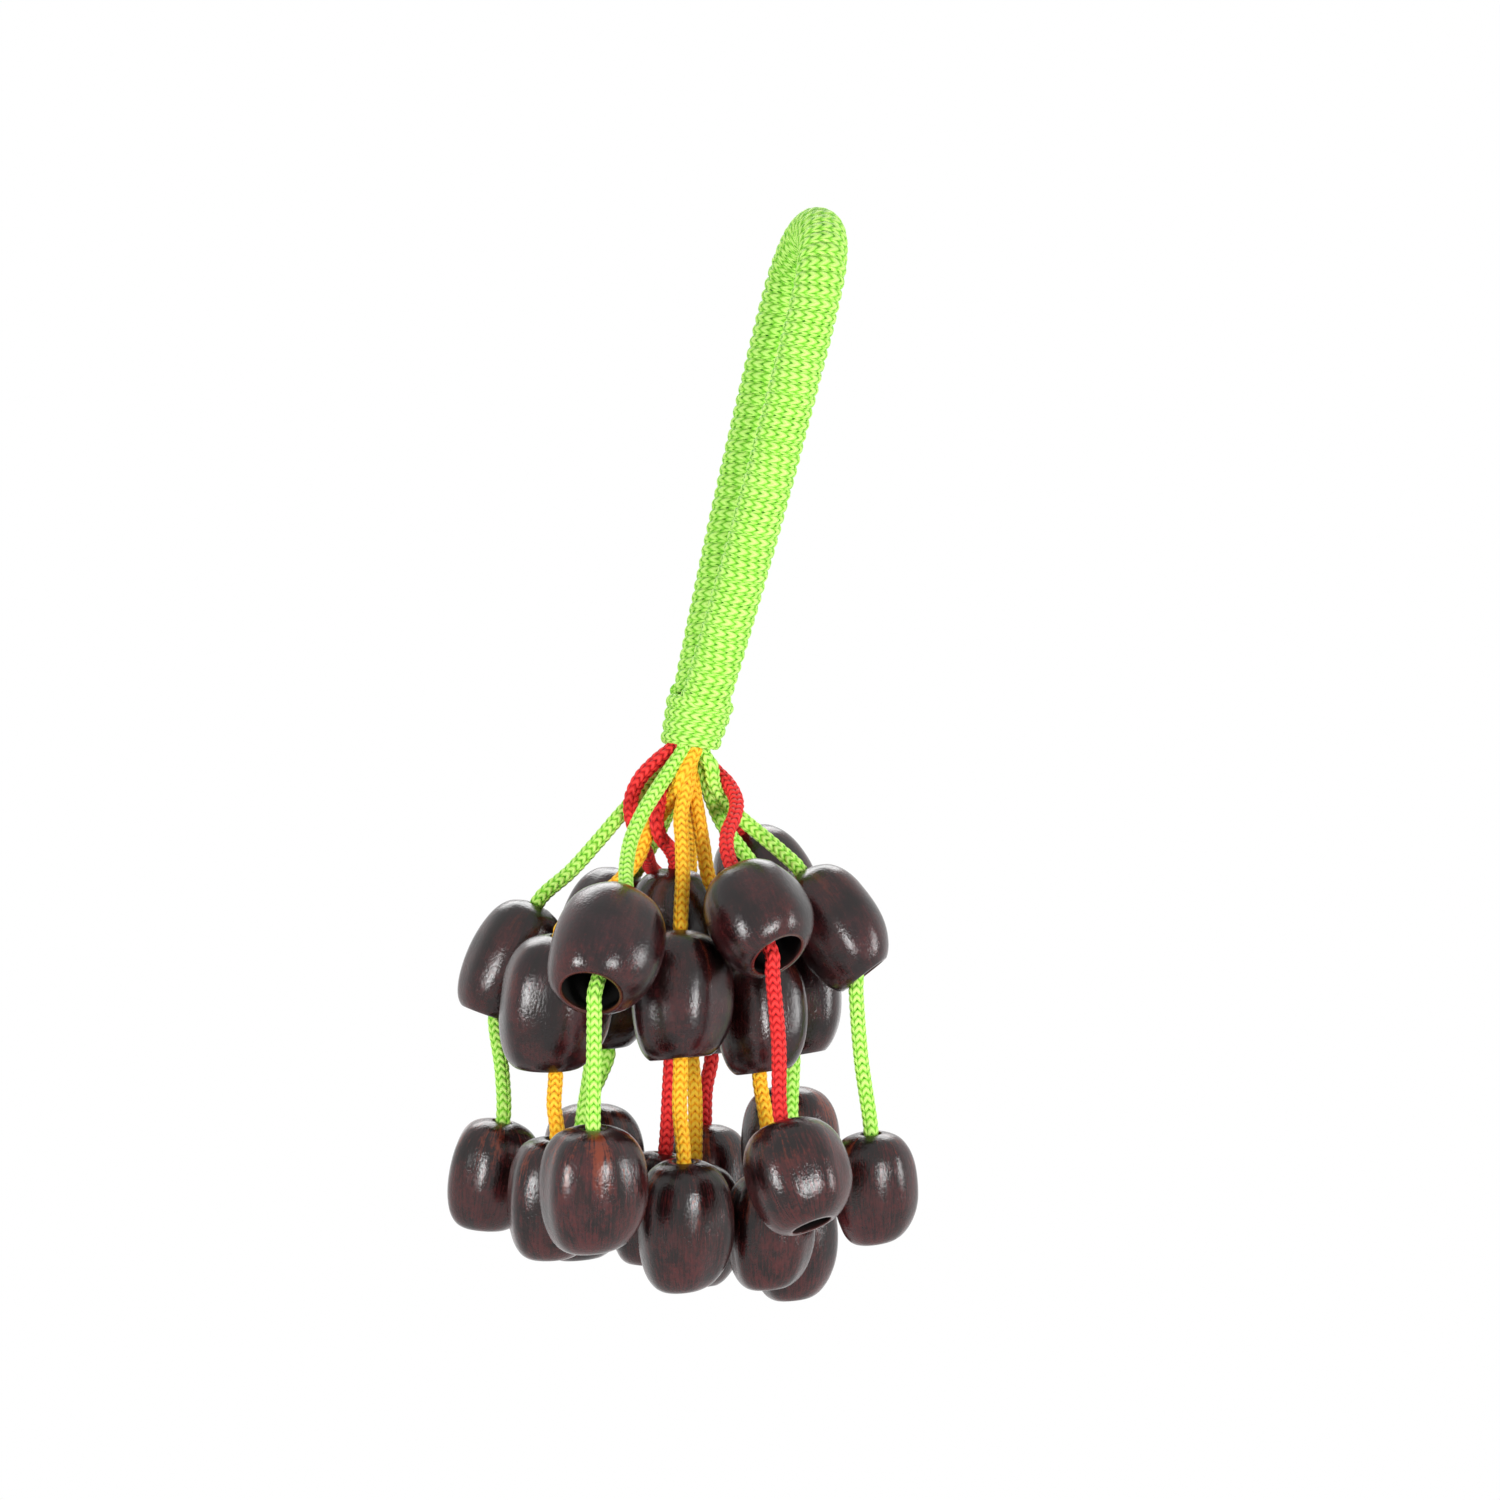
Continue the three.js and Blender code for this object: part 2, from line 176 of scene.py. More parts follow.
# Braided cord finish: every cord's mesh carries where a point lies on its braid, as the cosine and the
# sine of its place round the cord, and the stitches along it
braidMake = {"columns": 5, "slope": 0.52, "legPower": 0.55, "edgeFrom": 0.74, "edgeLoss": 0.55,
             "holeAside": 0.75, "holeFrom": 0.02, "holeTo": 0.42, "slot": 0.8,
             "legRise": 0.85, "holeSink": 0.75, "level": 0.5}
# each colour's top is a painted highlight on the stitch crests, its low and hole are painted shade in the
# dips and holes between stitches, and body is the cord's own colour
cordFinishes = {
    "green": {"top": (208, 250, 132), "body": (158, 232, 68), "low": (128, 212, 48), "hole": (56, 136, 14)},
    "yellow": {"top": (255, 206, 58), "body": (255, 186, 18), "low": (252, 168, 8), "hole": (206, 108, 0)},
    "red": {"top": (238, 56, 52), "body": (218, 24, 28), "low": (194, 12, 18), "hole": (112, 2, 8)},
}
cordFeel = {"yarnScale": 3200, "patchScale": 160, "sway": 0.3, "swayScale": 460, "holeShadeScale": 620,
            "roughness": 0.6, "sheen": 0.06, "sheenRoughness": 0.5, "specular": 0.3,
            "relief": 0.00022, "bump": 0.7}


def stitchPattern(cosine, sine, stitches):
    # how high each point of the braid stands, how deep it lies in a hole, and how near a column's edge
    around = cosine.sum("ARCTAN2", sine, cosine) / (2 * math.pi)
    column = cosine.sum("FRACT", around * braidMake["columns"] + 0.5)
    aside = cosine.sum("ABSOLUTE", column - 0.5) * 2  # 0 in the middle of a column of stitches, 1 at its edge
    phase = stitches - aside * braidMake["slope"]
    wave = cosine.sum("COSINE", phase * (2 * math.pi)) * 0.5 + 0.5
    edge = aside.ease(braidMake["edgeFrom"], 1)
    hole = 1 - (wave + aside * braidMake["holeAside"]).ease(braidMake["holeFrom"], braidMake["holeTo"])
    slot = edge * (1 - wave) * braidMake["slot"]
    leg = (wave ** braidMake["legPower"]) * (1 - edge * braidMake["edgeLoss"])
    return leg, hole.sum("MAXIMUM", hole, slot), phase


def makeCordFinish(colour):
    shades = cordFinishes[colour]
    finish, ink, shader = newFinish(colour + "Cord")
    weave = ink.node("ShaderNodeAttribute", {"attribute_name": "weave"}, None, "Vector")
    place = ink.node("ShaderNodeTexCoord", None, None, "Object")
    cosine, sine, stitches = weave.parts()
    sway = (place.noise(cordFeel["swayScale"], 1) - 0.5) * cordFeel["sway"]
    leg, hole, phase = stitchPattern(cosine, sine, stitches + sway)
    yarn = place.noise(cordFeel["yarnScale"], 3, 0.6)
    patch = place.noise(cordFeel["patchScale"], 2)
    twist = ink.sum("COSINE", phase * (6 * math.pi)) * 0.5 + 0.5  # three yarns lie side by side in a stitch
    # painted highlight on the raised crests of the stitches and yarns, mixed with the yarn's own uneven tone
    crestHighlightAndYarnTone = (leg * 0.62 + yarn * 0.5 + patch * 0.25 + twist * 0.12 - 0.42).ease(0.1, 0.78)
    # painted shade on the low parts of the stitches
    body = leg.ease(0.1, 0.7).blend(linear(*shades["low"]), linear(*shades["body"]))
    body = crestHighlightAndYarnTone.blend(body, linear(*shades["top"]))
    # painted shade in the holes between stitches, deeper at some stitches than at others
    holeShadeDepth = place.noise(cordFeel["holeShadeScale"], 1).ease(0.42, 0.62)
    body = (hole * (holeShadeDepth * 0.6 + 0.36)).blend(body, linear(*shades["hole"]))
    feed(finish, shader, "Base Color", body)
    feed(finish, shader, "Roughness", yarn * 0.24 + (cordFeel["roughness"] - 0.12))
    height = leg * 0.8 + twist * 0.1 + yarn * 0.35 - hole * 0.5
    bump = ink.node("ShaderNodeBump", None, {"Strength": cordFeel["bump"], "Distance": cordFeel["relief"],
                                             "Height": height})
    feed(finish, shader, "Normal", bump)
    shader.inputs["Sheen Weight"].default_value = cordFeel["sheen"]
    shader.inputs["Sheen Roughness"].default_value = cordFeel["sheenRoughness"]
    shader.inputs["Specular IOR Level"].default_value = cordFeel["specular"]
    return finish


cordPaint = {colour: makeCordFinish(colour) for colour in cordFinishes}
print("cord finishes made")


# Braid: a tube of knitted stitches on any line whose points carry their own directions
def makeBraidTree():
    tree = bpy.data.node_groups.new("braid", "GeometryNodeTree")
    sockets = tree.interface
    sockets.new_socket("Geometry", in_out="INPUT", socket_type="NodeSocketGeometry")
    for name, kind in (("Sides", "NodeSocketInt"), ("Gather", "NodeSocketFloat"),
                       ("Stitch Length", "NodeSocketFloat"), ("Relief", "NodeSocketFloat"),
                       ("Finish", "NodeSocketMaterial")):
        sockets.new_socket(name, in_out="INPUT", socket_type=kind)
    sockets.new_socket("Geometry", in_out="OUTPUT", socket_type="NodeSocketGeometry")
    ink = Wire(tree)
    given = tree.nodes.new("NodeGroupInput")
    entry = {socket.name: Wire(tree, socket) for socket in given.outputs if socket.name}

    def carried(name, kind="FLOAT"):
        return ink.node("GeometryNodeInputNamedAttribute", {"data_type": kind}, {"Name": name})

    line = ink.node("GeometryNodeMeshToCurve", None, {"Mesh": entry["Geometry"]})
    ring = ink.node("GeometryNodeCurvePrimitiveCircle", None, {"Resolution": entry["Sides"], "Radius": 1})
    share = ink.node("GeometryNodeSplineParameter")
    ring = ink.node("GeometryNodeStoreNamedAttribute", {"data_type": "FLOAT", "domain": "POINT"},
                    {"Geometry": ring, "Name": "around", "Value": share})
    tube = ink.node("GeometryNodeCurveToMesh", None,
                    {"Curve": line, "Profile Curve": ring, "Fill Caps": True})
    even = carried("around") * (2 * math.pi)
    turn = even - ink.sum("SINE", even) * entry["Gather"]  # sides are closer together where they face out
    cosine, sine = ink.sum("COSINE", turn), ink.sum("SINE", turn)
    stitches = carried("run") / entry["Stitch Length"]
    leg, hole, _ = stitchPattern(cosine, sine, stitches)
    height = leg * braidMake["legRise"] - hole * braidMake["holeSink"] - braidMake["level"]
    swell = height * entry["Relief"] + 1
    out = carried("outward", "FLOAT_VECTOR").scaled(cosine * carried("halfThick"))
    side = carried("along", "FLOAT_VECTOR").scaled(sine * carried("halfWide"))
    reach = out.vector("ADD", out, side).scaled(swell)
    place = ink.vector("ADD", carried("centre", "FLOAT_VECTOR"), reach)
    weave = ink.node("ShaderNodeCombineXYZ", None, {"X": cosine, "Y": sine, "Z": stitches})
    tube = ink.node("GeometryNodeStoreNamedAttribute", {"data_type": "FLOAT_VECTOR", "domain": "POINT"},
                    {"Geometry": tube, "Name": "weave", "Value": weave})
    tube = ink.node("GeometryNodeSetPosition", None, {"Geometry": tube, "Position": place})
    tube = ink.node("GeometryNodeSetShadeSmooth", None, {"Geometry": tube})
    tube = ink.node("GeometryNodeRealizeInstances", None, {"Geometry": tube})
    tube = ink.node("GeometryNodeSetMaterial", None, {"Geometry": tube, "Material": entry["Finish"]})
    ink.node("NodeGroupOutput", None, {"Geometry": tube})
    return tree


braidTree = makeBraidTree()


def outwardFaces(mesh):
    mesh.calc_loop_triangles()
    co = np.zeros(len(mesh.vertices) * 3)
    mesh.vertices.foreach_get("co", co)
    co = co.reshape(-1, 3)
    corners = np.array([triangle.vertices for triangle in mesh.loop_triangles])
    a, b, c = (co[corners[:, i]] for i in range(3))
    if np.einsum("ij,ij->i", a, np.cross(b, c)).sum() < 0:
        mesh.flip_normals()


def braid(name, points, outward, along, halfThick, halfWide, run, settings, finish):
    count = len(points)
    mesh = bpy.data.meshes.new(name + "Line")
    mesh.from_pydata([tuple(p) for p in points], [(i, i + 1) for i in range(count - 1)], [])
    for label, values in (("centre", points), ("outward", outward), ("along", along)):
        mesh.attributes.new(label, "FLOAT_VECTOR", "POINT").data.foreach_set(
            "vector", np.asarray(values, np.float32).ravel())
    for label, values in (("halfThick", halfThick), ("halfWide", halfWide), ("run", run)):
        mesh.attributes.new(label, "FLOAT", "POINT").data.foreach_set(
            "value", np.broadcast_to(values, count).astype(np.float32))
    piece = bpy.data.objects.new(name, mesh)
    bpy.context.scene.collection.objects.link(piece)
    modifier = piece.modifiers.new("braid", "NODES")
    modifier.node_group = braidTree
    keys = {item.name: item.identifier for item in braidTree.interface.items_tree if item.in_out == "INPUT"}
    for label in ("Sides", "Gather", "Stitch Length", "Relief"):
        modifier[keys[label]] = settings[label]
    modifier[keys["Finish"]] = finish
    seen = piece.evaluated_get(bpy.context.evaluated_depsgraph_get())
    result = bpy.data.meshes.new_from_object(seen)
    piece.modifiers.remove(modifier)
    piece.data = result
    bpy.data.meshes.remove(mesh)
    for label in ("centre", "outward", "along", "halfThick", "halfWide", "run", "around"):
        if label in result.attributes:
            result.attributes.remove(result.attributes[label])
    outwardFaces(result)
    return piece


# Smooth lines

def smoothLine(corners, samples=24):
    # a curve through every corner, its speed set by the root of each span
    corners = np.array([tuple(c) for c in corners], float)
    corners = np.vstack([2 * corners[0] - corners[1], corners, 2 * corners[-1] - corners[-2]])
    knots = np.concatenate([[0], np.cumsum(np.sqrt(np.linalg.norm(np.diff(corners, axis=0), axis=1)))])
    line = []
    for i in range(1, len(corners) - 2):
        t0, t1, t2, t3 = knots[i - 1:i + 3]
        p0, p1, p2, p3 = corners[i - 1:i + 3]
        t = np.linspace(t1, t2, samples, endpoint=False)[:, None]
        a1 = (t1 - t) / (t1 - t0) * p0 + (t - t0) / (t1 - t0) * p1
        a2 = (t2 - t) / (t2 - t1) * p1 + (t - t1) / (t2 - t1) * p2
        a3 = (t3 - t) / (t3 - t2) * p2 + (t - t2) / (t3 - t2) * p3
        b1 = (t2 - t) / (t2 - t0) * a1 + (t - t0) / (t2 - t0) * a2
        b2 = (t3 - t) / (t3 - t1) * a2 + (t - t1) / (t3 - t1) * a3
        line.append((t2 - t) / (t2 - t1) * b1 + (t - t1) / (t2 - t1) * b2)
    return np.vstack([*line, corners[-2:-1]])


def lengths(line):
    return np.concatenate([[0], np.cumsum(np.linalg.norm(np.diff(line, axis=0), axis=1))])


def evenLine(line, step):
    run = lengths(line)
    count = max(2, round(run[-1] / step) + 1)
    places = np.linspace(0, run[-1], count)
    return np.column_stack([np.interp(places, run, line[:, k]) for k in range(3)])


def unit(vectors):
    return vectors / np.linalg.norm(vectors, axis=-1, keepdims=True)


def carriedFrames(line, first):
    # two directions across the line at each point, carried along it without a twist
    tangents = unit(np.gradient(line, axis=0))
    outward = np.zeros_like(line)
    current = np.array(first, float)
    for i, tangent in enumerate(tangents):
        current = current - tangent * (current @ tangent)
        current /= np.linalg.norm(current)
        outward[i] = current
    return outward, np.cross(tangents, outward)


# Strands: the cords' ways, in millimetres from the neck, and the shells' widths and heights

cordMake = {"diameter": 2.8 * mm, "step": 0.22 * mm, "Sides": 40, "Gather": 0, "Stitch Length": 1.5 * mm,
            "Relief": 0.16, "knotRadius": 2.9 * mm, "tail": 1.5 * mm, "entryRun": 1.4 * mm, "wall": 1.4 * mm,
            "holeRadius": 1.9 * mm, "gap": 0.3 * mm, "exitRun": 2.6 * mm, "insideRun": 5 * mm,
            "drawIn": 0.15 * mm, "bow": 0.5 * mm, "firstOut": (0, -1, 0.1)}
knotMake = {"points": 72, "sides": 8, "wide": 0.42, "thick": 0.36, "wave": 0.62, "rise": 0.8}
handleAxis = Vector((math.sin(tilt), 0, math.cos(tilt)))

strands = [
    {"colour": "green", "foot": (-2.9, 0.3), "upper": (0.9, 0.96), "lower": (0.93, 0.88),
     "way": [(-4.5, 1.5, -3), (-8.4, 2.2, -7.6), (-12.4, 2.4, -11.8), (-17.2, 2.4, -17.4),
             (-22.6, 2.4, -23.4)]},
    {"colour": "yellow", "foot": (1.2, -4.3), "upper": (1.12, 1.06), "lower": (0.97, 0.96),
     "way": [(-1.3, -6.2, -5.4), (-3.2, -4.8, -9.4), (-5.2, -3.2, -12.4), (-7.6, -3.2, -15.6),
             (-9.8, -5, -21), (-14, -8.5, -26), (-19.6, -12.4, -30.4)]},
    {"colour": "green", "foot": (-0.8, -4.5), "upper": (1.13, 1), "lower": (1.08, 0.98),
     "way": [(-3.2, -6.2, -3.5), (-6, -9, -7.8), (-8.8, -12.2, -12.4), (-10.9, -16, -17.4),
             (-11.7, -20, -21.8), (-11.8, -23.6, -25)]},
    {"colour": "green", "foot": (-2.2, 2.6), "upper": (0.95, 0.96), "lower": (0.95, 0.96),
     "way": [(-3.6, 4, -4.6), (-5.6, 7.4, -9.6), (-8.2, 12, -13.8), (-10.4, 15.8, -17.6)]},
    {"colour": "yellow", "foot": (0.9, -2), "upper": (1.03, 1.02), "lower": (0.96, 1.04),
     "way": [(-0.4, -5.8, -7.6), (-1.4, -8.8, -12.6), (-1.1, -12, -18), (-1, -14.8, -24),
             (-1.2, -16.8, -28.6)]},
    {"colour": "red", "foot": (-1, -2), "upper": (0.96, 1), "lower": (0.95, 0.9),
     "way": [(-3.2, -3.2, -5.4), (-5.2, -4.8, -9.4), (-6.1, -6, -13.2), (-5.4, -4.8, -16.6),
             (-3.6, -1.4, -19)]},
    {"colour": "red", "foot": (2.7, 1.2), "upper": (1.05, 0.84), "lower": (1.05, 0.86),
     "way": [(4.9, 0.9, -3.8), (7.6, -0.8, -6.6), (9.2, -4.4, -9.8), (8.9, -8.4, -12.8), (7.6, -12, -15.8),
             (7.4, -15.4, -18.9)]},
    {"colour": "green", "foot": (2.9, -2.8), "upper": (0.93, 0.96), "lower": (0.88, 0.88),
     "way": [(4.4, -3.3, -3.2), (4.9, -1.6, -6.8), (7, 0.2, -10.2), (10.6, -0.6, -13.6), (14.6, -1.8, -16.9),
             (18, -2.6, -19.8)]},
    {"colour": "red", "foot": (1.5, 3), "upper": (1, 0.96), "lower": (1, 0.96),
     "way": [(2.8, 5.4, -3), (5, 9.6, -6), (7.2, 14.6, -9), (8.9, 19.4, -11.9)]},
    {"colour": "yellow", "foot": (0.4, 0.2), "upper": (0.92, 0.96), "lower": (0.9, 0.92),
     "way": [(0.9, -2.4, -6.6), (1.8, -5.4, -12), (2.9, -7.2, -18.6), (4.1, -7.8, -25), (7.6, -7.4, -30.6),
             (11.6, -6.2, -34.6)]},
    {"colour": "green", "foot": (2.3, -0.6), "upper": (0.93, 1), "lower": (0.88, 1),
     "way": [(3, -0.6, -4.8), (4.4, 0.2, -9.4), (6.6, 2.2, -14.4), (9.8, 4.6, -18.8), (13.6, 7.6, -23.8),
             (17.4, 10.6, -29)]},
    {"colour": "green", "foot": (-0.4, 4.4), "upper": (0.98, 1), "lower": (1.04, 0.96),
     "way": [(-2, 7.2, -5.4), (-4.4, 12.5, -13), (-9.2, 21.6, -22), (-13.6, 30.4, -28.6)]},
    {"colour": "yellow", "foot": (-0.4, 2.2), "upper": (0.93, 0.98), "lower": (0.95, 1),
     "way": [(-0.2, 3.8, -5), (0, 8.6, -12.2), (0.2, 15.4, -19.2), (0.2, 21.4, -25)]},
    {"colour": "red", "foot": (-2.7, -2.4), "upper": (0.96, 1), "lower": (0.95, 0.96),
     "way": [(-5.7, -3.5, -1.9), (-9.1, -3.4, -5.4), (-10.9, -2.6, -9.2), (-11, -1, -12.6),
             (-9.8, 0.4, -16.4), (-8.2, 3.4, -19.8), (-7.4, 12, -22.6), (-5.5, 20, -24.6),
             (-2.4, 30, -26.6), (2, 38.6, -29.2)]},
]

# Shells: outlines are shares of half the width and of the height
shellMake = {"width": 20 * mm, "height": 24 * mm, "wall": 1.4 * mm, "rim": 0.62 * mm,
             "outline": {
                 "upper": [(0.34, 0.492), (0.6, 0.445), (0.8, 0.355), (0.92, 0.245), (0.985, 0.1), (1, -0.05),
                           (0.965, -0.2), (0.88, -0.33), (0.74, -0.44), (0.59, -0.497)],
                 "lower": [(0.38, 0.495), (0.66, 0.442), (0.84, 0.35), (0.94, 0.24), (0.99, 0.11), (1, -0.03),
                           (0.97, -0.16), (0.895, -0.28), (0.77, -0.39), (0.61, -0.465), (0.465, -0.498)]},
             "mouth": {"upper": 0.56, "lower": 0.44},
             "inner": [(0.78, -0.36), (0.95, -0.2), (1, 0), (0.9, 0.26), (0.55, 0.42)],
             "lobes": 3, "lobe": 0.025, "askew": 0.1, "sides": 72, "fit": 0.972,
             "facets": ((5, 1), (6, 0.8), (4, 0.45), (7, 0.3), (9, 0.2)), "facet": 0.2 * mm,
             "dent": 0.12 * mm, "dents": 6, "dentReach": 0.3,
             "keel": 0.13 * mm, "keels": 2, "keelWidth": 0.045,
             "lip": 0.35 * mm, "holeRound": 0.3 * mm, "rimRound": 0.12 * mm}


def carryWeave(mesh, weave):
    mesh.attributes.new("weave", "FLOAT_VECTOR", "POINT").data.foreach_set(
        "vector", np.asarray(weave, np.float32).ravel())


def knotCoil(centre, axis, radius, finish):
    # an overhand knot of the same cord, small enough to sit under a shell's hole
    up = Vector(axis).normalized()
    turn = Vector((0, 0, 1)).rotation_difference(up).to_matrix()
    t = np.linspace(0, 2 * math.pi, knotMake["points"] + 1)[:-1]
    wide, thick = radius * knotMake["wide"], radius * knotMake["thick"]
    out = wide + wide * knotMake["wave"] * np.cos(3 * t)
    line = np.column_stack([out * np.cos(2 * t), out * np.sin(2 * t),
                            wide * knotMake["rise"] * np.sin(3 * t)])
    tangents = unit(np.roll(line, -1, 0) - np.roll(line, 1, 0))
    first = unit(np.cross(tangents, line))
    second = np.cross(tangents, first)
    sides = knotMake["sides"]
    run = lengths(line) / cordMake["Stitch Length"]
    points, faces, weave = [], [], []
    for i in range(len(line)):
        for k in range(sides):
            angle = 2 * math.pi * k / sides
            weave.append((math.cos(angle), math.sin(angle), run[i]))
            points.append(line[i] + thick * (first[i] * math.cos(angle) + second[i] * math.sin(angle)))
            a, b = i * sides + k, i * sides + (k + 1) % sides
            c, d = (b + sides) % (len(line) * sides), (a + sides) % (len(line) * sides)
            faces.append((a, b, c, d))
    mesh = bpy.data.meshes.new("knot")
    mesh.from_pydata([tuple(turn @ Vector(p) + Vector(centre)) for p in points], [], faces)
    carryWeave(mesh, weave)
    mesh.shade_smooth()
    mesh.materials.append(finish)
    outwardFaces(mesh)
    knot = bpy.data.objects.new("knot", mesh)
    bpy.context.scene.collection.objects.link(knot)
    return knot


def joinPieces(first, *others):
    with bpy.context.temp_override(active_object=first, selected_editable_objects=[first, *others]):
        bpy.ops.object.join()
    return first


def makeCord(name, corners, colour, knotAt, knotAxis):
    line = evenLine(smoothLine(corners), cordMake["step"])
    outward, along = carriedFrames(line, cordMake["firstOut"])
    radius = cordMake["diameter"] / 2
    piece = braid(name, line, outward, along, radius, radius, lengths(line), cordMake, cordPaint[colour])
    knot = knotCoil(knotAt, knotAxis, cordMake["knotRadius"], cordPaint[colour])
    joinPieces(piece, knot)
    return piece, line


def makeStrand(number, strand):
    label = f"{number:02d}"
    root, pivotJoint = joints[f"strand_{label}_swing"], joints[f"hanger_{label}_swing"]
    upperShell, lowerShell = joints[f"upper_seed_{label}_turn"], joints[f"lower_seed_{label}_turn"]
    exitPoint, pivot = Vector(root["pos_m"]), Vector(pivotJoint["pos_m"])
    seat = math.sqrt((cordMake["knotRadius"] + cordMake["gap"]) ** 2 - cordMake["holeRadius"] ** 2)

    def onAxis(joint, size, fromTop):
        distance = size[1] * shellMake["height"] / 2 - fromTop
        return Vector(joint["pos_m"]) + Vector(joint["axis"]).normalized() * distance

    footX, footY = strand["foot"]
    foot = fromNeck(footX, footY, -footX * math.tan(tilt))
    inside = foot + handleAxis * cordMake["insideRun"] - Vector((footX, footY, 0)) * cordMake["drawIn"]
    knotUpper = onAxis(upperShell, strand["upper"], cordMake["wall"] + seat)
    knotLower = onAxis(lowerShell, strand["lower"], cordMake["wall"] + seat)
    entryUpper = onAxis(upperShell, strand["upper"], -cordMake["entryRun"])
    entryLower = onAxis(lowerShell, strand["lower"], -cordMake["entryRun"])
    colour = strand["colour"]

    upperWay = [inside, foot, *(fromNeck(*p) for p in strand["way"]), entryUpper, knotUpper]
    upper, line = makeCord(f"strand_{label}_upper", upperWay, colour, knotUpper, upperShell["axis"])
    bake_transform(upper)
    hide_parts(f"cord_{label}_upper")
    colour + "_cord"

    turn = pivot + Vector((0, 0, cordMake["exitRun"]))
    half = (knotUpper + turn) / 2
    # each lower cord bows its own way
    bow = Vector((math.sin(number * 2.1), math.cos(number * 1.7), 0)) * cordMake["bow"]
    lowerAxis = Vector(lowerShell["axis"]).normalized()
    tailEnd = knotLower - lowerAxis * (cordMake["knotRadius"] + cordMake["tail"])
    lowerWay = [knotUpper, half, turn, pivot, (pivot + entryLower) / 2 + bow, entryLower, knotLower, tailEnd]
    lower, line = makeCord(f"strand_{label}_lower", lowerWay, colour, knotLower, lowerShell["axis"])
    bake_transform(lower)
    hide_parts(f"cord_{label}_lower")
    colour + "_cord"


for number, strand in enumerate(strands, 1):
    makeStrand(number, strand)
print("strands made:", len(strands))


# Handle: the folded bundle, the whipping of its loop and the collar

handleMake = {"turn": 12, "core": 2.5 * mm, "gap": 0.5 * mm, "thickness": 1.8 * mm, "pitch": 2.3 * mm,
              "halfWidth": 13.5 * mm, "length": 107.4 * mm, "collarHeight": 11.5 * mm,
              "footRadius": 3.6 * mm, "headRadius": 4.7 * mm, "oval": 1.45, "start": 9 * mm,
              "legs": [(0.2, 0.006), (0.24, 0.07), (0.39, 0.16), (0.56, 0.28), (0.79, 0.48), (0.95, 0.72),
                       (1, 1)], "archSteps": 6, "rowOverlap": 1.1}
whippingMake = {"step": 0.37 * mm, "Sides": 16, "Gather": 0.4, "Stitch Length": 1.815 * mm, "Relief": 0.17,
                "drift": 0.9 * mm, "driftRun": 31 * mm, "probe": 2 * mm}
collarMake = {"step": 0.26 * mm, "Sides": 28, "Gather": 0.35, "Stitch Length": 1.87 * mm, "Relief": 0.17,
              "turns": 4.15, "from": math.pi, "gap": 0.15 * mm, "meanRadius": 6.5 * mm}
bundleMake = {"step": 1.2 * mm, "sides": 42, "cords": 7, "lobe": 0.1, "twist": 25}

sideways = np.array([math.cos(tilt), 0, -math.sin(tilt)])
upHandle = np.array(handleAxis)
loopTurn = math.radians(handleMake["turn"])
across = sideways * math.sin(loopTurn) + np.array([0, -math.cos(loopTurn), 0])
through = np.cross(upHandle, across)
reach = handleMake["core"] + handleMake["gap"] + handleMake["thickness"] / 2
archCentre = handleMake["length"] - reach - handleMake["thickness"] / 2 - handleMake["halfWidth"]


def handlePoint(u, v, w):
    return np.array(neck) + across * u + through * v + upHandle * w


def loopCorners():
    leg = [(u * handleMake["halfWidth"], w * archCentre) for u, w in handleMake["legs"]]
    corners = [handlePoint(-u, 0, w) for u, w in leg]
    for i in range(1, handleMake["archSteps"]):
        angle = math.pi * (1 - i / handleMake["archSteps"])
        corners.append(handlePoint(handleMake["halfWidth"] * math.cos(angle), 0,
                                   archCentre + handleMake["halfWidth"] * math.sin(angle)))
    return corners + [handlePoint(u, 0, w) for u, w in reversed(leg)]


loopLine = smoothLine(loopCorners(), 60)
loopRun = lengths(loopLine)
loopTangents = unit(np.gradient(loopLine, axis=0))


def onLoop(values, run):
    return np.column_stack([np.interp(run, loopRun, values[:, k]) for k in range(3)])


def whippingPoints(turns, places):
    share = places / turns
    run = handleMake["start"] + (loopRun[-1] - 2 * handleMake["start"]) * share
    tangent = unit(onLoop(loopTangents, run))
    inPlane = np.cross(through, tangent)
    angle = (2 * math.pi * places)[:, None]
    outward = inPlane * np.cos(angle) + through * np.sin(angle)
    return onLoop(loopLine, run) + outward * reach, outward, tangent


def makeWhipping():
    travel = loopRun[-1] - 2 * handleMake["start"]
    turns = round(travel / handleMake["pitch"])
    count = round(turns * 2 * math.pi * reach / whippingMake["step"])
    places = np.linspace(0, turns, count)
    points, outward, along = whippingPoints(turns, places)
    angle = 2 * math.pi * places
    run = handleMake["start"] + travel * places / turns
    probe = whippingMake["probe"]
    bend = unit(onLoop(loopTangents, run + probe)) - unit(onLoop(loopTangents, run - probe))
    inPlane = np.cross(through, along)
    curl = -np.einsum("ij,ij->i", bend, inPlane) / (2 * probe)
    spacing = travel / turns * (1 + curl * reach * np.cos(angle))
    wide = spacing / 2 * handleMake["rowOverlap"]
    cordRun = lengths(points)
    cordRun = cordRun + whippingMake["drift"] * np.sin(cordRun / whippingMake["driftRun"])
    piece = braid("handleWhipping", points, outward, along, handleMake["thickness"] / 2, wide, cordRun,
                  whippingMake, cordPaint["green"])
    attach(piece, "handle")
    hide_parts("handle_whipping")
    print("whipping:", turns, "turns,", len(piece.data.polygons), "faces")


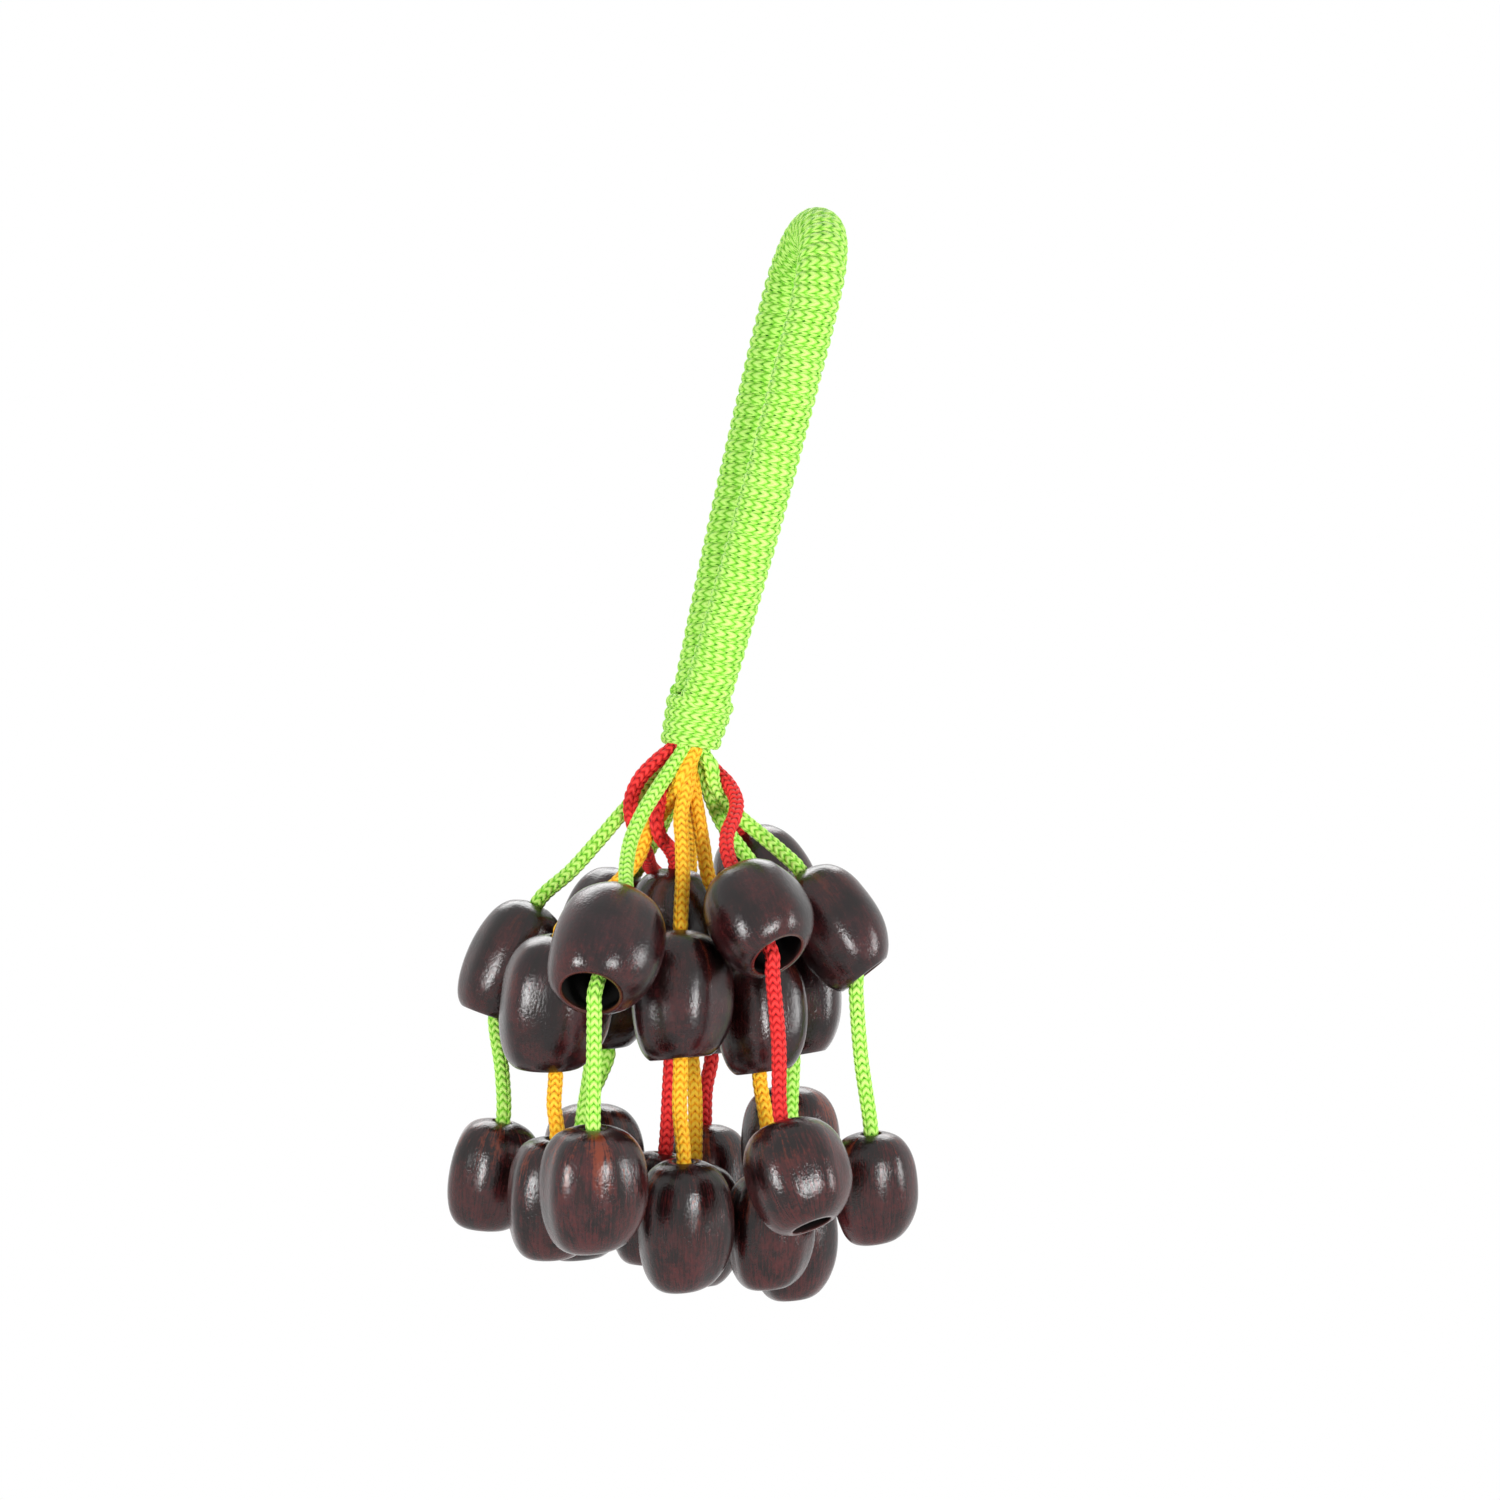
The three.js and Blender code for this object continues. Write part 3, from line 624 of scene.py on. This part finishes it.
def makeCollar():
    height = handleMake["collarHeight"]
    turns = collarMake["turns"]
    count = round(turns * 2 * math.pi * collarMake["meanRadius"] / collarMake["step"])
    places = np.linspace(0, turns, count)
    rise = handleMake["thickness"] / 2 + places * handleMake["pitch"]
    radius = handleMake["footRadius"] + (handleMake["headRadius"] - handleMake["footRadius"]) * rise / height
    half = handleMake["thickness"] / 2
    outU = radius * handleMake["oval"] + collarMake["gap"] + half
    outV = radius + collarMake["gap"] + half
    angle = collarMake["from"] + 2 * math.pi * places
    spots = zip(outU * np.cos(angle), outV * np.sin(angle), rise)
    points = np.array([handlePoint(u, v, w) for u, v, w in spots])
    outward = unit(across * (outV * np.cos(angle))[:, None] + through * (outU * np.sin(angle))[:, None])
    along = np.broadcast_to(upHandle, points.shape)
    wide = handleMake["pitch"] / 2 * handleMake["rowOverlap"]
    piece = braid("collarWhipping", points, outward, along, half, wide, lengths(points), collarMake,
                  cordPaint["green"])
    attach(piece, "handle")
    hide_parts("collar_whipping")


def makeBundle():
    # seven cords side by side: a round section with seven lobes, twisted a little on its way
    line = evenLine(loopLine, bundleMake["step"])
    tangents = unit(np.gradient(line, axis=0))
    inPlane = np.cross(through, tangents)
    run = lengths(line)
    sides, cords, lobe = bundleMake["sides"], bundleMake["cords"], bundleMake["lobe"]
    angle = np.arange(sides) * 2 * math.pi / sides
    radius = handleMake["core"] * (1 - lobe + lobe * np.cos(cords * angle))
    points, faces, weave = [], [], []
    for i, centre in enumerate(line):
        turned = angle + run[i] * bundleMake["twist"]
        ring = centre + radius[:, None] * (inPlane[i] * np.cos(turned)[:, None]
                                           + through * np.sin(turned)[:, None])
        points.extend(tuple(p) for p in ring)
        stitches = run[i] / cordMake["Stitch Length"]
        weave.extend((math.cos(cords * a), math.sin(cords * a), stitches) for a in angle)
    for i in range(len(line) - 1):
        for k in range(sides):
            a, b = i * sides + k, i * sides + (k + 1) % sides
            faces.append((a, b, b + sides, a + sides))
    last = (len(line) - 1) * sides
    faces += [tuple(reversed(range(sides))), tuple(range(last, last + sides))]
    mesh = bpy.data.meshes.new("handleBundle")
    mesh.from_pydata(points, [], faces)
    carryWeave(mesh, weave)
    mesh.shade_smooth()
    mesh.materials.append(cordPaint["green"])
    outwardFaces(mesh)
    piece = bpy.data.objects.new("handleBundle", mesh)
    bpy.context.scene.collection.objects.link(piece)
    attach(piece, "handle")
    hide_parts("handle_core")


makeWhipping()
makeCollar()
makeBundle()
print("handle made")


# Nut shells

shellShades = {"dark": (20, 8, 9), "warm": (50, 20, 20), "violet": (46, 26, 32), "maroon": (78, 27, 27),
               "ember": (128, 54, 28), "soot": (19, 15, 13), "speck": (112, 80, 74), "rim": (80, 30, 25),
               "inside": (10, 5, 4)}
shellFeel = {"redness": {"upper": 0.2, "lower": 0.75}, "roughness": 0.13, "insideRoughness": 0.8,
             "specular": 0.46, "relief": 0.0001, "bump": 0.8}


def makeShellFinish():
    finish, ink, shader = newFinish("varnishedNut")
    shade = {name: linear(*colour) for name, colour in shellShades.items()}
    place = ink.node("ShaderNodeAttribute", {"attribute_name": "shellPlace"}, None, "Vector")
    offset = ink.node("ShaderNodeAttribute", {"attribute_name": "shellChance"}, None, "Vector")
    redness, rim, inside = ink.node("ShaderNodeAttribute", {"attribute_name": "shellKind"}, None,
                                    "Vector").parts()
    x, y, z = place.parts()
    spread = ink.sum("SQRT", x * x + y * y + 1e-7)
    rise = z / (shellMake["height"] / 2)

    def meridian(turns, climb):  # a vector whose noise runs from the top hole to the mouth
        ringed = ink.node("ShaderNodeCombineXYZ", None,
                          {"X": x / spread * turns, "Y": y / spread * turns, "Z": z * climb})
        return ringed.vector("ADD", ringed, offset)

    apart = place.vector("ADD", place, offset)
    streak = meridian(2.4, 45).noise(1, 3, 0.6)
    fibre = (meridian(20, 300).noise(1, 3, 0.6) - 0.5) * (redness * 0.9 + 0.15) + 0.5
    patches = apart.noise(150, 3, 0.55)
    flecks = apart.noise(1100, 3, 0.65)
    grain = apart.noise(2000, 3, 0.6)
    cloud = apart.noise(75, 2)
    warmth = (patches * 0.6 + fibre * 0.4 + redness * 0.04).ease(0.42, 0.62)
    body = warmth.blend(shade["dark"], shade["warm"])
    body = ((cloud * 0.5 + fibre * 0.5).ease(0.46, 0.66) * 0.6).blend(body, shade["violet"])
    red = (flecks * 0.4 + fibre * 0.55 + patches * 0.3 + redness * 0.07 - rise * 0.03).ease(0.62, 0.82)
    body = (red * 0.7).blend(body, shade["maroon"])
    top = rise.ease(-0.1, 0.6) * (1 - rise.ease(0.94, 1.02))
    soot = (1 - (streak * 0.75 + fibre * 0.4).ease(0.46, 0.58)) * rise.ease(-0.6, 0.5)
    body = (soot * 0.75).blend(body, shade["soot"])
    glow = (streak * 0.75 + fibre * 0.35 + flecks * 0.2).ease(0.66, 0.8) * top * redness
    body = glow.blend(body, shade["ember"])
    body = ((grain * 0.5 + flecks * 0.5).ease(0.64, 0.74) * 0.35).blend(body, shade["speck"])
    body = (rim * (0.45 + fibre * 0.7)).blend(body, shade["rim"])
    body = inside.blend(body, shade["inside"])
    feed(finish, shader, "Base Color", body)
    rough = grain * 0.12 + patches * 0.12 + flecks * 0.08 + (shellFeel["roughness"] - 0.16)
    feed(finish, shader, "Roughness", rough * (1 - inside) + inside * shellFeel["insideRoughness"])
    relief = grain * 0.95 + flecks * 0.3 + fibre * 0.15
    bump = ink.node("ShaderNodeBump", None,
                    {"Strength": shellFeel["bump"], "Distance": shellFeel["relief"], "Height": relief})
    feed(finish, shader, "Normal", bump)
    shader.inputs["Specular IOR Level"].default_value = shellFeel["specular"]
    return finish


shellPaint = makeShellFinish()


def shellPoints(tier, width, height, chance):
    # the profile, from the hole over the outside to the mouth and back up the inside
    radius = width / 2 * shellMake["fit"]
    hole, wall, mouth = cordMake["holeRadius"], shellMake["wall"], shellMake["mouth"][tier]
    lip, bevel, rimRound = shellMake["lip"], shellMake["holeRound"], shellMake["rimRound"]
    outer = [(hole, 0.5 * height - lip), (hole + bevel, 0.5 * height)]
    outer += [(r * radius, h * height) for r, h in shellMake["outline"][tier]]
    outer.append((mouth * radius - rimRound, -0.5 * height))
    inner = [(mouth * radius - shellMake["rim"] + rimRound, -0.5 * height),
             (mouth * radius - shellMake["rim"], -0.49 * height)]
    inner += [(r * radius - wall, h * height) for r, h in shellMake["inner"]]
    inner += [(hole + bevel, 0.5 * height - wall), (hole, 0.5 * height - wall + bevel)]
    outside = smoothLine([(r, h, 0) for r, h in outer], 4)[:, :2]
    within = smoothLine([(r, h, 0) for r, h in inner], 2)[:, :2]
    profile = np.vstack([outside, within])
    sides = shellMake["sides"]
    angle = np.arange(sides) * 2 * math.pi / sides
    x = profile[:, :1] * np.cos(angle)
    y = profile[:, :1] * np.sin(angle)
    z = np.repeat(profile[:, 1:], sides, 1)
    skin = np.repeat((np.arange(len(profile)) < len(outside))[:, None], sides, 1)
    along = 2 * z / height
    ease = np.clip((-along - 0.2) / 0.8, 0, 1)
    z = z + shellMake["askew"] * x * ease * ease * (3 - 2 * ease)
    belly = np.clip(1 - along ** 2, 0, 1)
    swell = 1 + shellMake["lobe"] * np.cos(shellMake["lobes"] * angle) * belly
    lift = np.zeros_like(z)
    for k, share in shellMake["facets"]:
        phase = k * angle + chance.uniform(0, 2 * math.pi) + chance.uniform(-0.9, 0.9) * along
        lift += shellMake["facet"] * share * chance.uniform(0.5, 1.3) * (np.cos(phase) - 0.4) * belly ** 0.6
    dentReach = shellMake["dentReach"]
    for _ in range(shellMake["dents"]):
        where, level = chance.uniform(0, 2 * math.pi), chance.uniform(-0.8, 0.7)
        apart = np.angle(np.exp(1j * (angle - where)))
        lift -= shellMake["dent"] * np.exp(-(apart / dentReach) ** 2 - ((along - level) / dentReach) ** 2)
    for _ in range(shellMake["keels"]):
        where = chance.uniform(0, 2 * math.pi)
        apart = np.angle(np.exp(1j * (angle - where - 0.12 * np.sin(along * 2))))
        crest = np.exp(-(apart / shellMake["keelWidth"]) ** 2)
        fade = np.clip(along * 1.4 + 0.2, 0, 1) * np.clip(1.05 - along ** 4, 0, 1)
        lift += shellMake["keel"] * crest * fade
    grow = swell + lift * skin / np.maximum(np.hypot(x, y), hole)
    return np.stack([x * grow, y * grow, z], -1), skin, len(outside)


def makeShell(number, tier, body, joint, size, redness):
    chance = np.random.default_rng(number * 2 + (tier == "lower"))
    width, height = size[0] * shellMake["width"], size[1] * shellMake["height"]
    grid, skin, split = shellPoints(tier, width, height, chance)
    rows, sides = grid.shape[:2]
    spot = grid.reshape(-1, 3)
    direction = Vector(joint["axis"]).normalized()
    turn = Vector((0, 0, 1)).rotation_difference(direction).to_matrix()
    place = Matrix.Translation(Vector(joint["pos_m"])) @ turn.to_4x4()
    faces = []
    for i in range(rows):
        for k in range(sides):
            a, b = i * sides + k, i * sides + (k + 1) % sides
            c, d = (i + 1) % rows * sides + (k + 1) % sides, (i + 1) % rows * sides + k
            faces.append((a, b, c, d))
    mesh = bpy.data.meshes.new(f"nut_{number:02d}_{tier}")
    mesh.from_pydata([tuple(place @ Vector(p)) for p in spot], [], faces)
    rim = np.zeros(rows)
    rim[split - 1:split + 2] = 1
    rim[split - 2], rim[split + 2] = 0.4, 0.5
    rim = np.repeat(rim, sides)
    kinds = np.column_stack([np.full(len(spot), redness), rim, (1 - skin.ravel()) * (1 - rim)])
    offset = np.tile(chance.uniform(-50, 50, 3), (len(spot), 1))
    for label, values in (("shellPlace", spot), ("shellChance", offset), ("shellKind", kinds)):
        mesh.attributes.new(label, "FLOAT_VECTOR", "POINT").data.foreach_set(
            "vector", values.astype(np.float32).ravel())
    mesh.shade_smooth()
    mesh.materials.append(shellPaint)
    outwardFaces(mesh)
    piece = bpy.data.objects.new(mesh.name, mesh)
    bpy.context.scene.collection.objects.link(piece)
    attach(piece, body)
    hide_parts(f"seed_{number:02d}_{tier}")


for number, strand in enumerate(strands, 1):
    for tier, redness in shellFeel["redness"].items():
        makeShell(number, tier, f"{tier}_seed_{number:02d}", joints[f"{tier}_seed_{number:02d}_turn"],
                  strand[tier], redness)
print("shells made:", 2 * len(strands))


# Floor, light and background

stageMake = {"floorDrop": 0.42, "floorRadius": 0.42, "floorSides": 96, "floorShade": 0.86,
             "floorRoughness": 0.9, "worldLevel": 0.42, "lampReach": 0.9, "aim": (-0.012, -0.01, -0.15)}
lamps = {  # azimuth, elevation, width, height and power
    "leftPanel": (-41, -2, 0.12, 0.28, 4.8),
    "rightPanel": (26, -2, 0.14, 0.28, 4.8),
    "sidePanel": (80, 3, 0.1, 0.32, 2.8),
    "backPanel": (186, 46, 0.7, 0.5, 5),
}


def makeFloor():
    mesh = bpy.data.meshes.new("floor")
    count = stageMake["floorSides"]
    x, y, _ = view["middle"]
    ring = [(x + stageMake["floorRadius"] * math.cos(2 * math.pi * i / count),
             y + stageMake["floorRadius"] * math.sin(2 * math.pi * i / count), -stageMake["floorDrop"])
            for i in range(count)]
    mesh.from_pydata(ring, [], [tuple(range(count))])
    floor = bpy.data.objects.new("floor", mesh)
    finish, _, shader = newFinish("paleFloor")
    shade = stageMake["floorShade"]
    shader.inputs["Base Color"].default_value = (shade, shade, shade, 1)
    shader.inputs["Roughness"].default_value = stageMake["floorRoughness"]
    mesh.materials.append(finish)
    bpy.context.scene.collection.objects.link(floor)


def makeWorld():
    world = bpy.data.worlds.new("paleRoom")
    bpy.context.scene.world = world
    world.use_nodes = True
    tree = world.node_tree
    tree.nodes.clear()
    ink = Wire(tree)
    path = tree.nodes.new("ShaderNodeLightPath")
    shown = Wire(tree, path.outputs["Is Camera Ray"])
    for name in ("Is Glossy Ray", "Is Transmission Ray"):
        shown = ink.sum("MAXIMUM", shown, Wire(tree, path.outputs[name]))
    strength = shown * (1 - stageMake["worldLevel"]) + stageMake["worldLevel"]
    light = ink.node("ShaderNodeBackground", None, {"Color": (1, 1, 1, 1), "Strength": strength})
    ink.node("ShaderNodeOutputWorld", None, {"Surface": light})


def makeLamp(name, azimuth, elevation, width, height, power):
    # azimuth is 0 at the camera and grows to the right
    data = bpy.data.lights.new(name, "AREA")
    data.shape = "RECTANGLE"
    data.size, data.size_y, data.energy = width, height, power
    lamp = bpy.data.objects.new(name, data)
    level = math.cos(math.radians(elevation))
    toLamp = Vector((math.sin(math.radians(azimuth)) * level, -math.cos(math.radians(azimuth)) * level,
                     math.sin(math.radians(elevation))))
    lamp.location = Vector(stageMake["aim"]) + toLamp * stageMake["lampReach"]
    lamp.rotation_euler = toLamp.to_track_quat("Z", "Y").to_euler()
    bpy.context.scene.collection.objects.link(lamp)


makeFloor()
makeWorld()
for name, settings in lamps.items():
    makeLamp(name, *settings)
bpy.context.scene.view_settings.view_transform = "Standard"
print("stage and lamps made")

bpy.context.view_layer.update()
